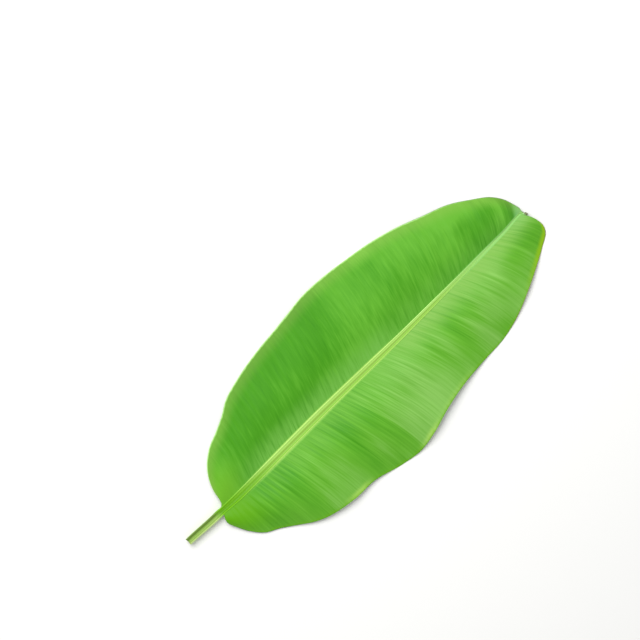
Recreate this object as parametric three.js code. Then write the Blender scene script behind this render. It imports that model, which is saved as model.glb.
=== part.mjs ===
// A banana leaf cut from the plant with a stub of its stalk, lying face up on a level surface.
// Stalk, midrib and blade grew as one piece, so the leaf is one solid: a closed loop of section
// points that runs over the upper face and back along the underside, lofted from the cut end of
// the stalk to the withered tip. Millimetres, +Z up, the tip towards +X.
//
// While the sections are worked out, x runs along the midrib from the place where the blade
// begins, y is across the leaf and z is the height over the surface that it lies on. The finished
// leaf is then moved, so that the origin is on that surface, under the middle of its box.
import * as THREE from "three";

// Lengths along the midrib
const STALK_LENGTH = 92;
const BLADE_LENGTH = 800;
const WITHERED_TIP = 7;

// Each row is a pair of guide veins: where they leave the midrib, and for the left and the right
// half where the vein reaches the margin (x, y) and how high the margin stands there (z).
const GUIDE_VEINS = [
  { root: -5, left: [2, 9, 10.5], right: [-10, -9.5, 10.5] },
  { root: -1, left: [6.5, 19, 9.5], right: [-14, -20, 8.5] },
  { root: 4, left: [8.5, 36, 8], right: [-7, -40, 6] },
  { root: 12, left: [16.5, 58.5, 6], right: [5, -62.5, 4] },
  { root: 24, left: [33, 82.5, 4], right: [24, -85, 2.5] },
  { root: 42, left: [60, 104, 3], right: [49, -99, 2] },
  { root: 64, left: [89.5, 116.5, 5], right: [76, -117, 3] },
  { root: 90, left: [119.5, 130.3, 8], right: [107, -137.5, 6] },
  { root: 118, left: [149.5, 147.8, 7], right: [140, -150.5, 9] },
  { root: 165, left: [203, 162.5, 3], right: [192, -159.5, 11] },
  { root: 212, left: [252, 171, 2], right: [243, -161.5, 6] },
  { root: 262, left: [303, 175.8, 6], right: [298, -176.5, 0] },
  { root: 305, left: [347, 180.7, 10], right: [345, -183, 4] },
  { root: 348, left: [388, 185.3, 11], right: [388, -175.5, 13] },
  { root: 395, left: [436, 183.8, 6], right: [436, -161.5, 15] },
  { root: 450, left: [490, 177.2, 0], right: [490, -151, 11] },
  { root: 510, left: [550.5, 167, 2], right: [550, -146, 3] },
  { root: 565, left: [605.5, 152.3, 7], right: [606, -143, 0] },
  { root: 618, left: [658.5, 132.3, 8], right: [655, -130.5, 3] },
  { root: 668, left: [708, 113.5, 3], right: [704, -109.5, 8] },
  { root: 712, left: [745, 90.3, 0], right: [746, -89, 5] },
  { root: 748, left: [775, 67.8, 1], right: [781, -70.5, 0] },
  { root: 772, left: [790.5, 46.3, 3], right: [802.5, -57, 0.5] },
  { root: 785, left: [797.3, 27, 4], right: [810, -42.5, 2] },
  { root: 792, left: [800.6, 12, 4.5], right: [808, -26, 4] },
  { root: 797, left: [799.5, 7, 4.5], right: [800, -13.5, 4.5] },
  { root: BLADE_LENGTH, left: [800.5, 1.5, 4.5], right: [798.5, -9, 4.5] },
];

// Midrib and stalk at stations along x: sideways bend, width, depth from the blade's underside to
// the keel, depth of the channel in the upper face, and the keel's height over the surface.
const RIB_STATIONS = [
  { x: -STALK_LENGTH, bend: 6, width: 10.4, depth: 10, channel: 4.2, lift: 0 },
  { x: -20, bend: 2.8, width: 11.5, depth: 10, channel: 4, lift: 0 },
  { x: 40, bend: 0.6, width: 16.4, depth: 10.5, channel: 3, lift: 0 },
  { x: 250, bend: 2, width: 16.7, depth: 9.5, channel: 2.8, lift: 0 },
  { x: 480, bend: -0.7, width: 12.4, depth: 7.5, channel: 2.2, lift: 0 },
  { x: 620, bend: -0.3, width: 8.7, depth: 5.5, channel: 1.4, lift: 0.6 },
  { x: 740, bend: 1.1, width: 4.6, depth: 3, channel: 0.6, lift: 1.4 },
  { x: 792, bend: 4.6, width: 2.8, depth: 1.6, channel: 0.25, lift: 1.9 },
  { x: BLADE_LENGTH, bend: 0, width: 2.4, depth: 1.4, channel: 0.2, lift: 2 },
  { x: BLADE_LENGTH + WITHERED_TIP, bend: -6, width: 0.8, depth: 0.7, channel: 0.05, lift: 2.2 },
];

// The blade's sheet and how it stands
const SHEET_THICKNESS = 0.8;
const SHEET_AT_MIDRIB = 1.4;
const SHEET_FADE = 10; // distance over which the sheet thins away from the midrib
const ARCH_HEIGHT = 0.09; // rise of each half over the midrib, as a share of the vein's length
const ARCH_CREST = 0.42; // where along the vein the arch is highest
const VEIN_SWEEP = 1.7; // over 1, a vein leaves the midrib leaning forward and then straightens

// Pleats run along the veins, a ridge at every second station. They rise beside the midrib and
// fade at the margin, and their height comes and goes along the leaf.
const PLEAT_HEIGHT = 0.8;
const PLEAT_UNEVENNESS = 0.45;
const PLEAT_TURNS = [1.3, 0.31]; // how fast the height comes and goes, in radians a station
const PLEAT_RUN_IN = 0.12; // share of the vein over which a pleat rises
const PLEAT_AT_MARGIN = 0.4;
const PLEAT_FADE = 3; // power of the fade towards the margin

// Slow swells cross each half, highest in the middle of the vein
const SWELL_HEIGHT = 1.6;
const SWELL_LENGTHS = [118, 71];
const SWELL_SHIFT = { left: 0.4, right: 2.6 }; // phase of each half's swells, in radians
const BROAD_VEIN = 90; // shorter veins have lower pleats and swells

// The stalk's edges go on from the blade as narrow upright wings
const STALK_WING = { out: 1.9, up: 2.1 };
const TIP_WING = { out: 0.4, up: 0.2 };

// Mesh fineness
const VEIN_STEPS = 8; // from midrib to margin
const BLADE_STATIONS = 109;
const STALK_STATIONS = 6;
const TIP_STATIONS = 2;
const MEASURE_STEPS = 400; // fine steps by which the guide curves are measured

// Half of the rib's section, as shares of its width and of the named depth
const BEAD = { across: 0.4, rise: 0.7 }; // rounded edge of the channel, its rise in millimetres
const LEFT_WALL = { across: 0.2, share: 0.7 };
const CHANNEL_FLOOR = { across: -0.06, share: 1 };
const RIGHT_WALL = { across: -0.27, share: 0.7 };
const KEEL_FLANK = { across: 0.47, share: 0.6 };
const KEEL_TURN = { across: 0.33, share: 0.2 };
const KEEL_LAND = { across: 0.14, share: 0 };

const LEAF_GREEN = 0x5fae34;

const curveThrough = (points) =>
  new THREE.CatmullRomCurve3(points.map(([x, y, z]) => new THREE.Vector3(x, y, z)));
const guides = {
  root: curveThrough(GUIDE_VEINS.map(({ root }) => [root, 0, 0])),
  left: curveThrough(GUIDE_VEINS.map(({ left }) => left)),
  right: curveThrough(GUIDE_VEINS.map(({ right }) => right)),
};

// The rib's sizes at any x, read off the stations with eased steps between them.
function ribAt(x) {
  const last = RIB_STATIONS.length - 1;
  const next = RIB_STATIONS.findIndex((station) => station.x > x);
  const to = RIB_STATIONS[next < 0 ? last : Math.max(next, 1)];
  const from = RIB_STATIONS[RIB_STATIONS.indexOf(to) - 1];
  const share = THREE.MathUtils.clamp((x - from.x) / (to.x - from.x), 0, 1);
  const mix = (key) => THREE.MathUtils.lerp(from[key], to[key], share);
  const eased = THREE.MathUtils.smoothstep(x, from.x, to.x);
  return {
    bend: THREE.MathUtils.lerp(from.bend, to.bend, eased),
    width: mix("width"),
    depth: mix("depth"),
    channel: mix("channel"),
    lift: mix("lift"),
  };
}

// Stations of the blade, as places along the guide curves. Each step is the same, measured as the
// mean of the step along the midrib and the steps along both margins.
function bladePlaces() {
  const reach = [0];
  const at = (curve, i) => curve.getPoint(i / MEASURE_STEPS);
  for (let i = 1; i <= MEASURE_STEPS; i++) {
    const steps = Object.values(guides).map((curve) => at(curve, i).distanceTo(at(curve, i - 1)));
    reach.push(reach[i - 1] + steps.reduce((a, b) => a + b) / steps.length);
  }
  const places = [];
  for (let k = 0; k < BLADE_STATIONS; k++) {
    const target = (reach[MEASURE_STEPS] * k) / (BLADE_STATIONS - 1);
    const i = Math.max(1, reach.findIndex((r) => r >= target - 1e-9));
    const within = (target - reach[i - 1]) / (reach[i] - reach[i - 1]);
    places.push((i - 1 + within) / MEASURE_STEPS);
  }
  return places;
}

// Underside height along a vein: up from the midrib over the arch and down to the margin.
function archHeight(share, rootHeight, length, marginHeight) {
  const crest = rootHeight + ARCH_HEIGHT * length;
  if (share < ARCH_CREST) {
    const up = Math.sin((Math.PI / 2) * (share / ARCH_CREST));
    return rootHeight + (crest - rootHeight) * up;
  }
  const down = Math.cos((Math.PI / 2) * ((share - ARCH_CREST) / (1 - ARCH_CREST)));
  return marginHeight + (crest - marginHeight) * down;
}

// Height of the pleat at a station: none at even ones, a ridge of uneven height at odd ones.
function pleatHeight(station) {
  if (station % 2 === 0) return 0;
  const [quick, slow] = PLEAT_TURNS.map((turn) => Math.sin(station * turn));
  return PLEAT_HEIGHT * (1 + PLEAT_UNEVENNESS * quick * slow);
}

// Height of a half's swell at x along the midrib, from two sine waves of unlike length.
function swellHeight(x, half) {
  const wave = (length) => Math.sin((2 * Math.PI * x) / length + SWELL_SHIFT[half]);
  const [long, short] = SWELL_LENGTHS.map(wave);
  return (SWELL_HEIGHT * (long + short)) / 2;
}

// Points along one vein from the midrib to the margin, on the underside, with the sheet's
// thickness there. half is "left" or "right".
function veinPoints(rib, root, half, end, station) {
  const side = half === "left" ? 1 : -1;
  const start = new THREE.Vector3(root, rib.bend + (side * rib.width) / 2, rib.lift + rib.depth);
  const length = Math.hypot(end.x - start.x, end.y - start.y);
  const marginHeight = Math.max(end.z, 0);
  const reach = Math.min(1, length / BROAD_VEIN);
  const points = [];
  for (let j = 0; j <= VEIN_STEPS; j++) {
    const share = j / VEIN_STEPS;
    const forward = 1 - (1 - share) ** VEIN_SWEEP;
    const runIn = THREE.MathUtils.smoothstep(share, 0, PLEAT_RUN_IN);
    const fade = THREE.MathUtils.lerp(1, PLEAT_AT_MARGIN, share ** PLEAT_FADE);
    const pleat = pleatHeight(station) * runIn * fade;
    const swell = swellHeight(root, half) * Math.sin(Math.PI * share);
    const thinning = Math.exp((-share * length) / SHEET_FADE);
    points.push({
      x: THREE.MathUtils.lerp(start.x, end.x, forward),
      y: THREE.MathUtils.lerp(start.y, end.y, share),
      z: archHeight(share, start.z, length, marginHeight) + reach * (pleat + swell),
      thickness: THREE.MathUtils.lerp(SHEET_THICKNESS, SHEET_AT_MIDRIB, thinning),
    });
  }
  return points;
}

// Points along a wing of the stalk, or of the withered tip: as veinPoints, but short and straight.
function wingPoints(rib, x, side, wing) {
  const points = [];
  for (let j = 0; j <= VEIN_STEPS; j++) {
    const share = j / VEIN_STEPS;
    points.push({
      x,
      y: rib.bend + side * (rib.width / 2 + wing.out * share),
      z: rib.lift + rib.depth + wing.up * share,
      thickness: THREE.MathUtils.lerp(SHEET_AT_MIDRIB, SHEET_THICKNESS, share),
    });
  }
  return points;
}

// The whole loop at one station: over the upper face from the left margin to the right one, then
// back along the underside past the keel.
function sectionLoop(rib, x, left, right) {
  const top = ({ x: px, y, z, thickness }) => [px, y, z + thickness];
  const bottom = ({ x: px, y, z }) => [px, y, z];
  const edge = rib.lift + rib.depth + left[0].thickness;
  const bead = (side) => [
    x,
    rib.bend + side * BEAD.across * rib.width,
    edge + BEAD.rise * Math.min(1, rib.channel),
  ];
  const channel = ({ across, share }) => [
    x,
    rib.bend + across * rib.width,
    edge - share * rib.channel,
  ];
  const keel = (side, { across, share }) => [
    x,
    rib.bend + side * across * rib.width,
    rib.lift + share * rib.depth,
  ];
  return [
    ...left.map(top).reverse(),
    bead(1),
    ...[LEFT_WALL, CHANNEL_FLOOR, RIGHT_WALL].map(channel),
    bead(-1),
    ...right.map(top),
    ...right.map(bottom).reverse(),
    keel(-1, KEEL_FLANK),
    keel(-1, KEEL_TURN),
    keel(-1, KEEL_LAND),
    keel(1, KEEL_LAND),
    keel(1, KEEL_TURN),
    keel(1, KEEL_FLANK),
    ...left.map(bottom),
  ];
}

function stalkLoops() {
  const loops = [];
  const bladeStart = GUIDE_VEINS[0].root;
  for (let k = 0; k < STALK_STATIONS; k++) {
    const x = THREE.MathUtils.lerp(-STALK_LENGTH, bladeStart, k / STALK_STATIONS);
    const rib = ribAt(x);
    const wings = [1, -1].map((side) => wingPoints(rib, x, side, STALK_WING));
    loops.push(sectionLoop(rib, x, ...wings));
  }
  return loops;
}

function bladeLoops() {
  return bladePlaces().map((place, k) => {
    const root = guides.root.getPoint(place).x;
    const rib = ribAt(root);
    const [left, right] = ["left", "right"].map((half) =>
      veinPoints(rib, root, half, guides[half].getPoint(place), k),
    );
    return sectionLoop(rib, root, left, right);
  });
}

function tipLoops() {
  const loops = [];
  for (let k = 1; k <= TIP_STATIONS; k++) {
    const x = BLADE_LENGTH + (WITHERED_TIP * k) / TIP_STATIONS;
    const rib = ribAt(x);
    const wings = [1, -1].map((side) => wingPoints(rib, x, side, TIP_WING));
    loops.push(sectionLoop(rib, x, ...wings));
  }
  return loops;
}

// Joins loops of equal length with quads, each split the same way, and closes both ends.
function loft(loops) {
  const size = loops[0].length;
  const index = [];
  for (let i = 0; i + 1 < loops.length; i++) {
    for (let j = 0; j < size; j++) {
      const a = i * size + j;
      const b = i * size + ((j + 1) % size);
      index.push(a, b, a + size, b, b + size, a + size);
    }
  }
  const cap = (loop, offset, flip) => {
    const flat = loop.map(([, y, z]) => new THREE.Vector2(y, z));
    for (const [a, b, c] of THREE.ShapeUtils.triangulateShape(flat, [])) {
      index.push(...(flip ? [a, c, b] : [a, b, c]).map((v) => v + offset));
    }
  };
  cap(loops[0], 0, true);
  cap(loops.at(-1), (loops.length - 1) * size, false);
  return new THREE.BufferGeometry()
    .setAttribute("position", new THREE.Float32BufferAttribute(loops.flat(2), 3))
    .setIndex(index);
}

function makeLeaf() {
  const geometry = loft([...stalkLoops(), ...bladeLoops(), ...tipLoops()]);
  geometry.computeBoundingBox();
  const middle = geometry.boundingBox.getCenter(new THREE.Vector3());
  geometry.translate(-middle.x, -middle.y, -geometry.boundingBox.min.z);
  geometry.computeVertexNormals();
  const material = new THREE.MeshStandardMaterial({
    color: LEAF_GREEN,
    roughness: 0.42,
    metalness: 0,
  });
  const leaf = new THREE.Mesh(geometry, material);
  leaf.name = "banana_leaf";
  return leaf;
}

const group = new THREE.Group();
group.add(makeLeaf());

export default group;
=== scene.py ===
"""A fresh banana leaf lying face up: pleated blade, grooved midrib, cut stalk and withered tip.

The leaf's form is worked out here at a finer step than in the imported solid, from the same guide
veins and midrib stations. Its sizes are in millimetres, and x runs along the midrib from the place
where the blade begins. Meshes are in metres, in the frame's own axes, and so are the lengths in the
finishes and the studio, apart from the point that the camera looks at.
"""

import logging
import math
from collections.abc import Sequence
from dataclasses import dataclass, field
from enum import Enum
from functools import cached_property

import bmesh
import bpy
import numpy as np
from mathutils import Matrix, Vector


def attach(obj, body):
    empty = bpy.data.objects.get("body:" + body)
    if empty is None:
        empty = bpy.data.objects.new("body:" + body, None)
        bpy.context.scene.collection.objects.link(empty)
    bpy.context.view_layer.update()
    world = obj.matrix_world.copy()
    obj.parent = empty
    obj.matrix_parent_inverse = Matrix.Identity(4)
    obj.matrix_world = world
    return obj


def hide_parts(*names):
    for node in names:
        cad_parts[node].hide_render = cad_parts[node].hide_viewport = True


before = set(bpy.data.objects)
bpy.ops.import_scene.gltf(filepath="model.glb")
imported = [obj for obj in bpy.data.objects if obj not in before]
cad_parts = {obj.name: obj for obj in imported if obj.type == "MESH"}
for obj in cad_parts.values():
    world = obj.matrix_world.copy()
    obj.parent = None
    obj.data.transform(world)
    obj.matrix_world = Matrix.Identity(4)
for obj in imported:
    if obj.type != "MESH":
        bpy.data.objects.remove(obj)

BODY = "root"
NODE = "banana_leaf"
METRE = 1000.0  # in millimetres
MIDDLE = 0.5  # the mean of every pattern, and the channel's place round the midrib
MARKED = 0.99  # marks on the mesh are 0 or 1
WELD = 1e-7  # in metres
LEAST_GAP = 1e-4  # keeps a curve finite where two of its points meet
MIX_BASE, MIX_OVER, MIX_RESULT = 6, 7, 2  # a mix node's sockets for colours

Colour = tuple[float, ...]

log = logging.getLogger("banana_leaf")


class Half(Enum):
    """The two halves of the blade, seen from above with the tip pointing away."""

    LEFT = 1
    RIGHT = -1


def linear(red: int, green: int, blue: int) -> Colour:
    """Turn a colour as seen on a screen into the linear one that shaders use.

    Args:
        red: Red, 0 to 255.
        green: Green, 0 to 255.
        blue: Blue, 0 to 255.

    Returns:
        The colour in linear light, with an alpha of 1.
    """
    shares = [channel / 255 for channel in (red, green, blue)]
    bent = [c / 12.92 if c <= 0.04045 else ((c + 0.055) / 1.055) ** 2.4 for c in shares]
    return (*bent, 1.0)


def smoothstep(value: np.ndarray, low: float, high: float) -> np.ndarray:
    """Rise smoothly from 0 at low to 1 at high."""
    share = np.clip((value - low) / (high - low), 0, 1)
    return share * share * (3 - 2 * share)


def mix(start: np.ndarray, end: np.ndarray, share: np.ndarray) -> np.ndarray:
    """Go in a straight line from start at a share of 0 to end at a share of 1."""
    return start + (end - start) * share


def curve_through(points: Sequence[Sequence[float]], places: np.ndarray) -> np.ndarray:
    """Sample the centripetal Catmull-Rom curve that runs through some points.

    Args:
        points: The points that the curve passes.
        places: Where to sample it, from 0 at the first point to 1 at the last.

    Returns:
        One position for each place.
    """
    knots = np.array(points, float)
    padded = np.vstack([2 * knots[0] - knots[1], knots, 2 * knots[-1] - knots[-2]])
    spot = np.clip(places, 0, 1) * (len(knots) - 1)
    first = np.minimum(spot.astype(int), len(knots) - 2)
    share = (spot - first)[:, None]
    before, start, end, after = (padded[first + i] for i in range(4))
    steps = [np.linalg.norm(b - a, axis=1)[:, None] ** 0.5
             for a, b in ((before, start), (start, end), (end, after))]
    gap = np.maximum(steps[1], LEAST_GAP)
    ahead = (start - before) / steps[0] - (end - before) / (steps[0] + gap) + (end - start) / gap
    behind = (end - start) / gap - (after - start) / (gap + steps[2]) + (after - end) / steps[2]
    rise, fall = ahead * gap, behind * gap
    square = 3 * (end - start) - 2 * rise - fall
    cube = 2 * (start - end) + rise + fall
    return start + rise * share + square * share**2 + cube * share**3


@dataclass(frozen=True)
class GuideVein:
    """A pair of side veins: where they leave the midrib, and where each one ends.

    An end is x, y and the height of the margin's underside over the surface.
    """

    root: float
    left: tuple[float, float, float]
    right: tuple[float, float, float]


@dataclass(frozen=True)
class RibStation:
    """The midrib's or stalk's sizes at one place along the leaf."""

    x: float
    bend: float
    width: float
    depth: float
    channel: float
    lift: float


@dataclass(frozen=True)
class LeafForm:
    """The leaf's measures, and the places on it that they give."""

    stalk_length: float = 92.0
    blade_length: float = 800.0
    sheet_at_midrib: float = 1.4
    arch_height: float = 0.09
    arch_crest: float = 0.42
    vein_sweep: float = 1.7
    broad_vein: float = 90.0
    stout_width: float = 10.0
    stations: int = 109
    measure_steps: int = 400
    veins: tuple[GuideVein, ...] = (
        GuideVein(-5, (2, 9, 10.5), (-10, -9.5, 10.5)),
        GuideVein(-1, (6.5, 19, 9.5), (-14, -20, 8.5)),
        GuideVein(4, (8.5, 36, 8), (-7, -40, 6)),
        GuideVein(12, (16.5, 58.5, 6), (5, -62.5, 4)),
        GuideVein(24, (33, 82.5, 4), (24, -85, 2.5)),
        GuideVein(42, (60, 104, 3), (49, -99, 2)),
        GuideVein(64, (89.5, 116.5, 5), (76, -117, 3)),
        GuideVein(90, (119.5, 130.3, 8), (107, -137.5, 6)),
        GuideVein(118, (149.5, 147.8, 7), (140, -150.5, 9)),
        GuideVein(165, (203, 162.5, 3), (192, -159.5, 11)),
        GuideVein(212, (252, 171, 2), (243, -161.5, 6)),
        GuideVein(262, (303, 175.8, 6), (298, -176.5, 0)),
        GuideVein(305, (347, 180.7, 10), (345, -183, 4)),
        GuideVein(348, (388, 185.3, 11), (388, -175.5, 13)),
        GuideVein(395, (436, 183.8, 6), (436, -161.5, 15)),
        GuideVein(450, (490, 177.2, 0), (490, -151, 11)),
        GuideVein(510, (550.5, 167, 2), (550, -146, 3)),
        GuideVein(565, (605.5, 152.3, 7), (606, -143, 0)),
        GuideVein(618, (658.5, 132.3, 8), (655, -130.5, 3)),
        GuideVein(668, (708, 113.5, 3), (704, -109.5, 8)),
        GuideVein(712, (745, 90.3, 0), (746, -89, 5)),
        GuideVein(748, (775, 67.8, 1), (781, -70.5, 0)),
        GuideVein(772, (790.5, 46.3, 3), (802.5, -57, 0.5)),
        GuideVein(785, (797.3, 27, 4), (810, -42.5, 2)),
        GuideVein(792, (800.6, 12, 4.5), (808, -26, 4)),
        GuideVein(797, (799.5, 7, 4.5), (800, -13.5, 4.5)),
        GuideVein(800, (800.5, 1.5, 4.5), (798.5, -9, 4.5)),
    )
    ribs: tuple[RibStation, ...] = (
        RibStation(-92, 6, 10.4, 10, 4.2, 0),
        RibStation(-20, 2.8, 11.5, 10, 4, 0),
        RibStation(40, 0.6, 16.4, 10.5, 3, 0),
        RibStation(250, 2, 16.7, 9.5, 2.8, 0),
        RibStation(480, -0.7, 12.4, 7.5, 2.2, 0),
        RibStation(620, -0.3, 8.7, 5.5, 1.4, 0.6),
        RibStation(740, 1.1, 4.6, 3, 0.6, 1.4),
        RibStation(792, 4.6, 2.8, 1.6, 0.25, 1.9),
        RibStation(800, 0, 2.4, 1.4, 0.2, 2),
        RibStation(807, -6, 0.8, 0.7, 0.05, 2.2),
    )

    def rib(self, x: np.ndarray, name: str) -> np.ndarray:
        """Read one of the midrib's sizes at any x.

        Args:
            x: Places along the midrib.
            name: The size's name in RibStation.

        Returns:
            The size at each place, eased between stations for the sideways bend.
        """
        knots = np.array([station.x for station in self.ribs])
        values = np.array([getattr(station, name) for station in self.ribs])
        after = np.clip(np.searchsorted(knots, x, side="right"), 1, len(knots) - 1)
        start, end = knots[after - 1], knots[after]
        share = np.clip((x - start) / (end - start), 0, 1)
        if name == "bend":
            share = smoothstep(share, 0, 1)
        return mix(values[after - 1], values[after], share)

    def guide(self, name: str, places: np.ndarray) -> np.ndarray:
        """Sample the curve of vein roots, or of one half's margin.

        Args:
            name: root, left or right.
            places: Where to sample it, from 0 to 1.

        Returns:
            One position for each place.
        """
        if name == "root":
            points = [(vein.root, 0.0, 0.0) for vein in self.veins]
        else:
            points = [getattr(vein, name) for vein in self.veins]
        return curve_through(points, places)

    def places(self, stations: np.ndarray) -> np.ndarray:
        """Turn station numbers into places along the guide curves.

        Args:
            stations: Station numbers from 0 at the base, whole or not.

        Returns:
            The places, at even steps along the midrib and both margins taken together.
        """
        fine = np.linspace(0, 1, self.measure_steps + 1)
        steps = sum(np.linalg.norm(np.diff(self.guide(name, fine), axis=0), axis=1)
                    for name in ("root", "left", "right")) / 3
        reach = np.concatenate([[0], np.cumsum(steps)])
        return np.interp(reach[-1] * stations / (self.stations - 1), reach, fine)

    def arch(self, share: np.ndarray, root: np.ndarray, length: np.ndarray,
             margin: np.ndarray) -> np.ndarray:
        """Give the underside's height along veins, before pleats and swells.

        Args:
            share: How far along the vein, 0 to 1.
            root: Height at the midrib.
            length: The vein's length seen from above.
            margin: Height at the margin.

        Returns:
            The heights.
        """
        crest = root + self.arch_height * length
        up = np.sin(np.pi / 2 * np.minimum(share / self.arch_crest, 1))
        past = np.maximum(share - self.arch_crest, 0) / (1 - self.arch_crest)
        down = np.cos(np.pi / 2 * past)
        return np.where(share < self.arch_crest, root + (crest - root) * up,
                        margin + (crest - margin) * down)

    @cached_property
    def box_middle(self) -> np.ndarray:
        """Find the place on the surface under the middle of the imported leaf's box.

        Returns:
            The place, in the measuring axes.
        """
        places = self.places(np.arange(self.stations))
        left, right = (self.guide(name, places) for name in ("left", "right"))
        reach = max(left[:, 0].max(), right[:, 0].max())
        middle_y = (left[:, 1].max() + right[:, 1].min()) / 2
        return np.array([(reach - self.stalk_length) / 2, middle_y, 0.0])

    def to_frame(self, points: np.ndarray) -> np.ndarray:
        """Move points from the measuring axes into the frame, in metres."""
        return (points - self.box_middle) / METRE


@dataclass(frozen=True)
class Field:
    """A number that a node tree works out at each point, to be used in plain sums."""

    graph: "Graph"
    socket: bpy.types.NodeSocket

    def __add__(self, other: "Number") -> "Field":
        """Add a number or field."""
        return self.graph.math("ADD", self, other)

    def __sub__(self, other: "Number") -> "Field":
        """Take away a number or field."""
        return self.graph.math("SUBTRACT", self, other)

    def __rsub__(self, other: "Number") -> "Field":
        """Take this field away from a number."""
        return self.graph.math("SUBTRACT", other, self)

    def __mul__(self, other: "Number") -> "Field":
        """Multiply by a number or field."""
        return self.graph.math("MULTIPLY", self, other)

    def __truediv__(self, other: "Number") -> "Field":
        """Divide by a number or field."""
        return self.graph.math("DIVIDE", self, other)

    def __pow__(self, other: "Number") -> "Field":
        """Raise to a power."""
        return self.graph.math("POWER", self, other)

    __radd__ = __add__
    __rmul__ = __mul__


Number = Field | float


class Graph:
    """Writes a node tree from sums, for geometry and for materials alike."""

    def __init__(self, tree: bpy.types.NodeTree) -> None:
        """Start on an empty tree."""
        self.tree = tree
        tree.nodes.clear()

    def node(self, kind: str, **settings: object) -> bpy.types.Node:
        """Add a node.

        Args:
            kind: Its type's name.
            **settings: Properties to set on it.

        Returns:
            The node.
        """
        made = self.tree.nodes.new(kind)
        for name, value in settings.items():
            setattr(made, name, value)
        return made

    def feed(self, socket: bpy.types.NodeSocket, value: object) -> None:
        """Link a field or socket to an input, or set a plain value on it.

        Args:
            socket: The input.
            value: A Field, an output socket or a plain value.
        """
        if isinstance(value, Field):
            value = value.socket
        if isinstance(value, bpy.types.NodeSocket):
            self.tree.links.new(value, socket)
        else:
            socket.default_value = value

    def math(self, operation: str, *values: Number) -> Field:
        """Work out one step of arithmetic.

        Args:
            operation: The Math node's operation.
            *values: Its operands.

        Returns:
            The result.
        """
        made = self.node("ShaderNodeMath", operation=operation)
        for socket, value in zip(made.inputs, values):
            self.feed(socket, value)
        return Field(self, made.outputs[0])

    def ramp(self, value: Number, low: Number, high: Number, start: Number = 0.0,
             end: Number = 1.0) -> Field:
        """Rise smoothly between two results as a value goes from low to high.

        Args:
            value: What is read.
            low: Where the rise begins.
            high: Where it ends.
            start: The result below low.
            end: The result above high.

        Returns:
            The result.
        """
        made = self.node("ShaderNodeMapRange", interpolation_type="SMOOTHSTEP")
        for socket, item in zip(made.inputs, (value, low, high, start, end)):
            self.feed(socket, item)
        return Field(self, made.outputs[0])

    def vector(self, x: Number, y: Number, z: Number) -> bpy.types.NodeSocket:
        """Join three numbers into a vector.

        Args:
            x: The first number.
            y: The second number.
            z: The third number.

        Returns:
            The vector's output.
        """
        made = self.node("ShaderNodeCombineXYZ")
        for socket, value in zip(made.inputs, (x, y, z)):
            self.feed(socket, value)
        return made.outputs[0]

    def split(self, socket: bpy.types.NodeSocket) -> tuple[Field, Field, Field]:
        """Split a vector into its three numbers.

        Args:
            socket: The vector's output.

        Returns:
            The three numbers.
        """
        made = self.node("ShaderNodeSeparateXYZ")
        self.feed(made.inputs[0], socket)
        return tuple(Field(self, output) for output in made.outputs)

    def noise(self, x: Number, y: Number, seed: Number, detail: float = 2.0,
              roughness: float = 0.5) -> Field:
        """Give soft random values over a plane, around 0.5, one step apart in each direction.

        Args:
            x: First direction, in steps.
            y: Second direction, in steps.
            seed: Which pattern.
            detail: How many finer layers it has.
            roughness: How strong the finer layers are.

        Returns:
            The value.
        """
        made = self.node("ShaderNodeTexNoise", noise_dimensions="3D")
        self.feed(made.inputs["Vector"], self.vector(x, y, seed))
        made.inputs["Scale"].default_value = 1.0
        made.inputs["Detail"].default_value = detail
        made.inputs["Roughness"].default_value = roughness
        return Field(self, made.outputs[0])


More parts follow.
